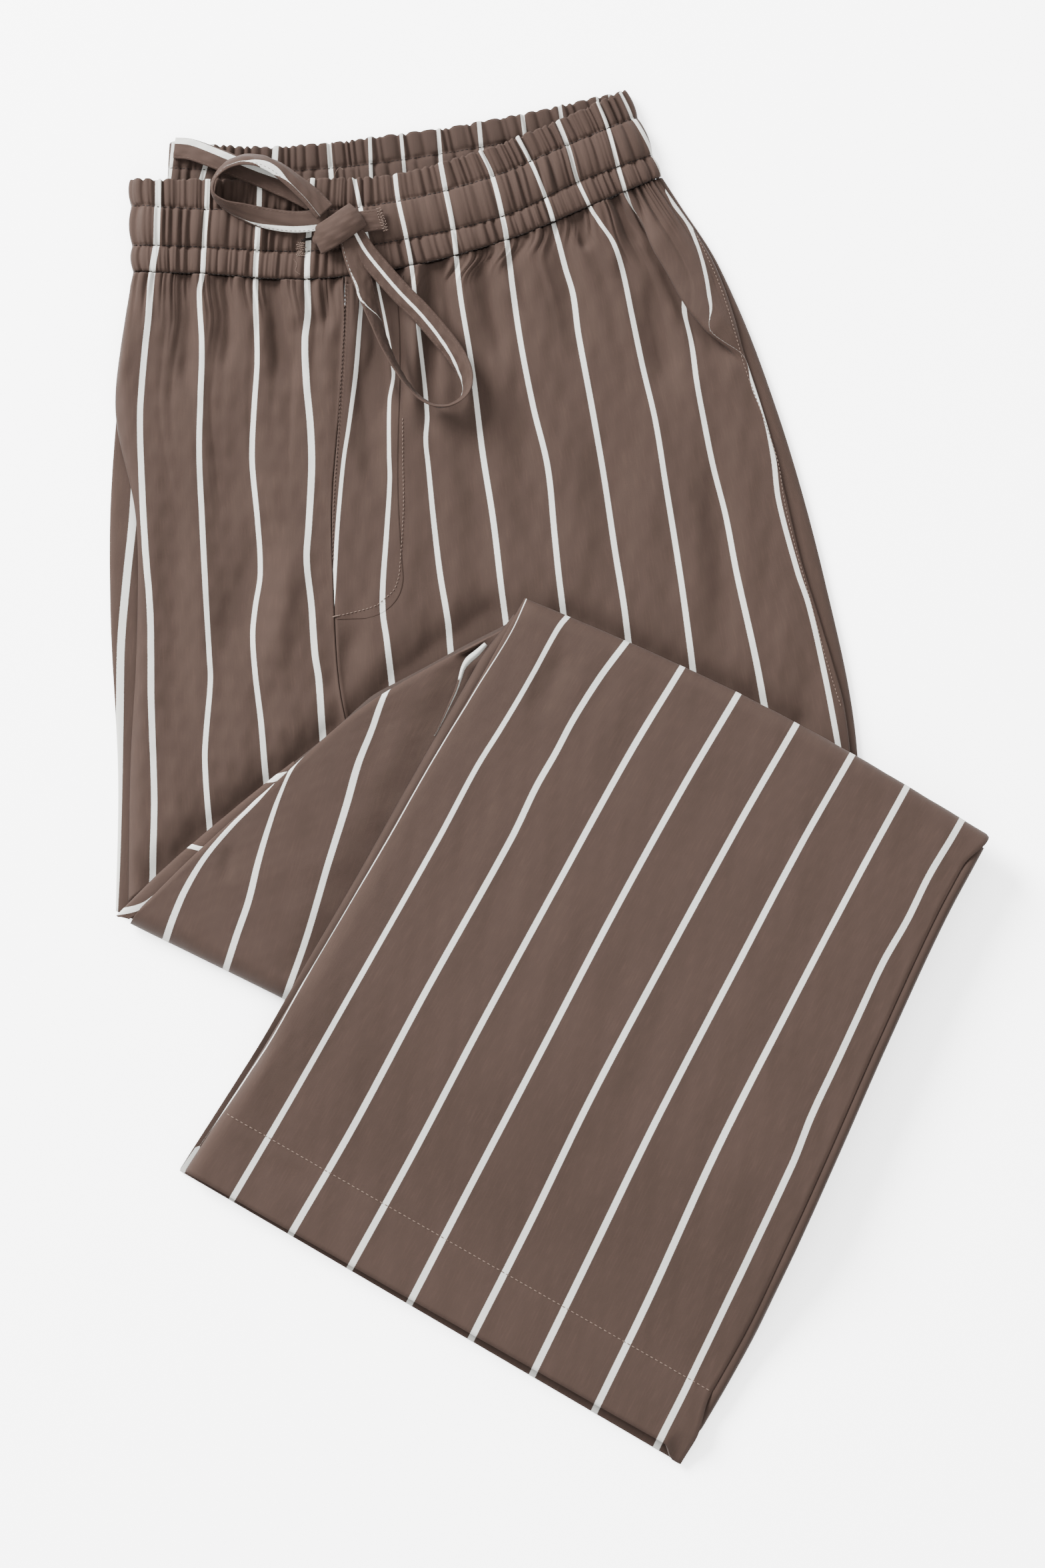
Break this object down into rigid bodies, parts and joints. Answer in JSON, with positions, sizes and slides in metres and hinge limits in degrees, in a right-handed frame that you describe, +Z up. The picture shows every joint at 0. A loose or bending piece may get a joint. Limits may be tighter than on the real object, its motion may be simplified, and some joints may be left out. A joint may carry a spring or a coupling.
{
  "type": "folded striped pyjama trousers",
  "caption": "Striped woven pyjama trousers with an elasticated drawstring waist and a sewn fly, folded in three and lying flat.",
  "frame": {"origin": "middle of the folded trousers' plan, on the surface that they lie on", "axes": "+Y along the length, towards the waist; +X towards the wearer's left; +Z up from the surface"},
  "size_m": [0.4728, 0.7452, 0.0252],
  "materials": {
    "cloth": "brown woven cotton with narrow off-white stripes, soft sheen",
    "waistband": "the same cloth gathered over elastic, with rows of dark stitching",
    "cloth_inside": "inner face of the cloth, duller, with softer stripes",
    "drawstring": "flat tie of the same cloth with one off-white stripe and stitched edges"
  },
  "bodies": {
    "root": {"waistband_front": "waistband", "waistband_back": "cloth_inside", "right_front": "cloth", "left_front": "cloth", "fly": "cloth", "right_back": "cloth", "left_back": "cloth", "right_back_lower": "cloth", "right_front_turned": "cloth", "left_front_lower": "cloth", "left_back_lower": "cloth_inside", "hidden_layers": "cloth_inside", "tie_left_loop": "drawstring", "tie_tail": "drawstring", "tie_right_loop": "drawstring", "tie_end": "drawstring", "tie_root": "drawstring", "tie_knot": "drawstring"}
  },
  "joints": []
}
